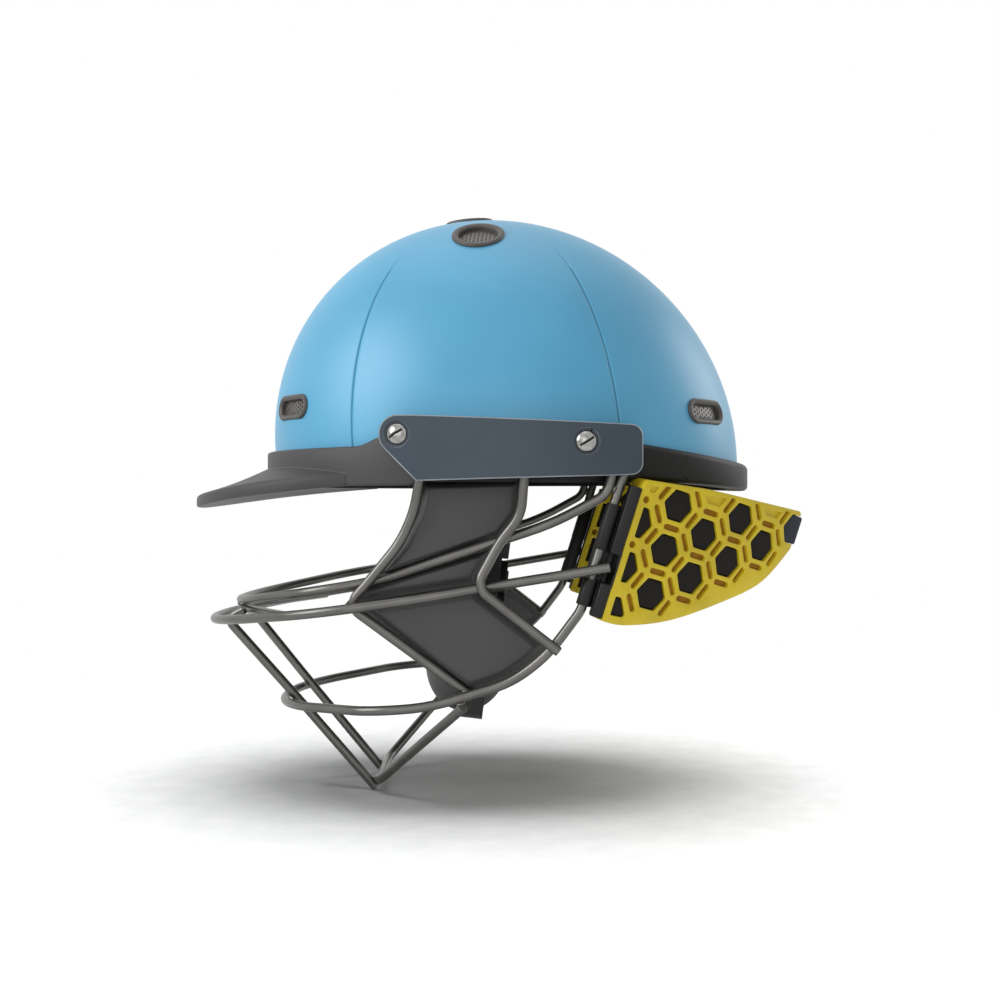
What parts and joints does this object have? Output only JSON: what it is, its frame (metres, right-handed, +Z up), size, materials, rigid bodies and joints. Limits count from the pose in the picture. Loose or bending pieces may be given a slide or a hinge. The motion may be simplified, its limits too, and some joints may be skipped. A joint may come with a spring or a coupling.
{
  "type": "cricket helmet",
  "caption": "Cricket helmet with a padded light blue shell, dark peak, steel face guard with cheek panels, hinged honeycomb neck guards and a chin strap.",
  "frame": {"origin": "centre of the head opening, level with the lower edge of the rim at the side", "axes": "+X to the back of the head, +Y to the wearer's right, +Z up to the crown"},
  "size_m": [0.3368, 0.228, 0.3232],
  "materials": {
    "shell_paint": "satin light blue paint on moulded plastic",
    "peak_plastic": "moulded mid grey plastic",
    "trim_plastic": "moulded near black plastic",
    "plate_plastic": "moulded blue grey plastic",
    "liner_foam": "closed cell foam",
    "pad_fabric": "knitted cover over soft foam",
    "grille_steel": "powder coated steel rod",
    "screw_steel": "plain bright steel",
    "washer_rubber": "moulded rubber",
    "panel_plastic": "fine grained moulded plastic",
    "guard_yellow": "flexible moulded plastic",
    "strap_fabric": "woven webbing",
    "cup_plastic": "soft moulded plastic",
    "buckle_plastic": "moulded nylon"
  },
  "bodies": {
    "helmet": {"cheek_panel_lower_left": "panel_plastic", "cheek_panel_lower_right": "panel_plastic", "cheek_panel_middle_left": "panel_plastic", "cheek_panel_middle_right": "panel_plastic", "cheek_panel_upper_left": "panel_plastic", "cheek_panel_upper_right": "panel_plastic", "crown_comfort_pad": "pad_fabric", "crown_vent_frames": "peak_plastic", "crown_vent_nets": "trim_plastic", "foam_liner": "liner_foam", "front_comfort_pad": "pad_fabric", "front_vent_frames": "peak_plastic", "front_vent_nets": "trim_plastic", "grille_brace_left": "grille_steel", "grille_brace_right": "grille_steel", "grille_carrier_left": "grille_steel", "grille_carrier_right": "grille_steel", "grille_chin_bar": "grille_steel", "grille_front_rib_left": "grille_steel", "grille_front_rib_right": "grille_steel", "grille_lower_bar": "grille_steel", "grille_middle_bar": "grille_steel", "grille_post_left": "grille_steel", "grille_post_right": "grille_steel", "grille_rear_rib_left": "grille_steel", "grille_rear_rib_right": "grille_steel", "grille_upper_bar": "grille_steel", "outer_shell": "shell_paint", "peak": "peak_plastic", "plate_screws": "screw_steel", "plate_tee_nuts": "screw_steel", "plate_washers": "washer_rubber", "rear_comfort_pad": "pad_fabric", "rear_rim_trim": "trim_plastic", "rear_vent_frames": "peak_plastic", "rear_vent_nets": "trim_plastic", "side_comfort_pad_left": "pad_fabric", "side_comfort_pad_right": "pad_fabric", "side_plate_left": "plate_plastic", "side_plate_right": "plate_plastic", "strap_pivots": "screw_steel"},
    "neck_guard_left": {"neck_guard_honeycomb_left": "guard_yellow", "neck_guard_foam_left": "liner_foam", "neck_guard_rail_left": "peak_plastic", "neck_guard_clip_left": "liner_foam"},
    "neck_guard_right": {"neck_guard_honeycomb_right": "guard_yellow", "neck_guard_foam_right": "liner_foam", "neck_guard_rail_right": "peak_plastic", "neck_guard_clip_right": "liner_foam"},
    "chin_strap": {"strap_webbing_left": "strap_fabric", "strap_webbing_right": "strap_fabric", "chin_cup": "cup_plastic", "strap_hangers": "buckle_plastic", "strap_slides": "buckle_plastic", "buckle_socket": "buckle_plastic", "buckle_plug": "buckle_plastic"},
    "buckle_prong_front_body": {"buckle_prong_front": "buckle_plastic"},
    "buckle_prong_rear_body": {"buckle_prong_rear": "buckle_plastic"}
  },
  "joints": [
    {"name": "neck_guard_left_swing", "type": "hinge", "parent": "helmet", "child": "neck_guard_left", "pos_m": [0.04685, -0.10066, -0.028], "axis": [0.2985, 0, 0.9544], "range_deg": [-12, 4]},
    {"name": "neck_guard_right_swing", "type": "hinge", "parent": "helmet", "child": "neck_guard_right", "pos_m": [0.04685, 0.10066, -0.028], "axis": [0.2985, 0, 0.9544], "range_deg": [-4, 12]},
    {"name": "chin_strap_swing", "type": "hinge", "parent": "helmet", "child": "chin_strap", "pos_m": [-0.005, 0, 0.012], "axis": [0, 1, 0], "range_deg": [-30, 12]},
    {"name": "buckle_prong_front_squeeze", "type": "slide", "parent": "chin_strap", "child": "buckle_prong_front_body", "axis": [0.9928, 0, -0.1201], "range_m": [0, 0.0018], "stiffness_N_per_m": 400},
    {"name": "buckle_prong_rear_squeeze", "type": "slide", "parent": "chin_strap", "child": "buckle_prong_rear_body", "axis": [-0.9928, 0, 0.1201], "range_m": [0, 0.0018], "stiffness_N_per_m": 400}
  ]
}
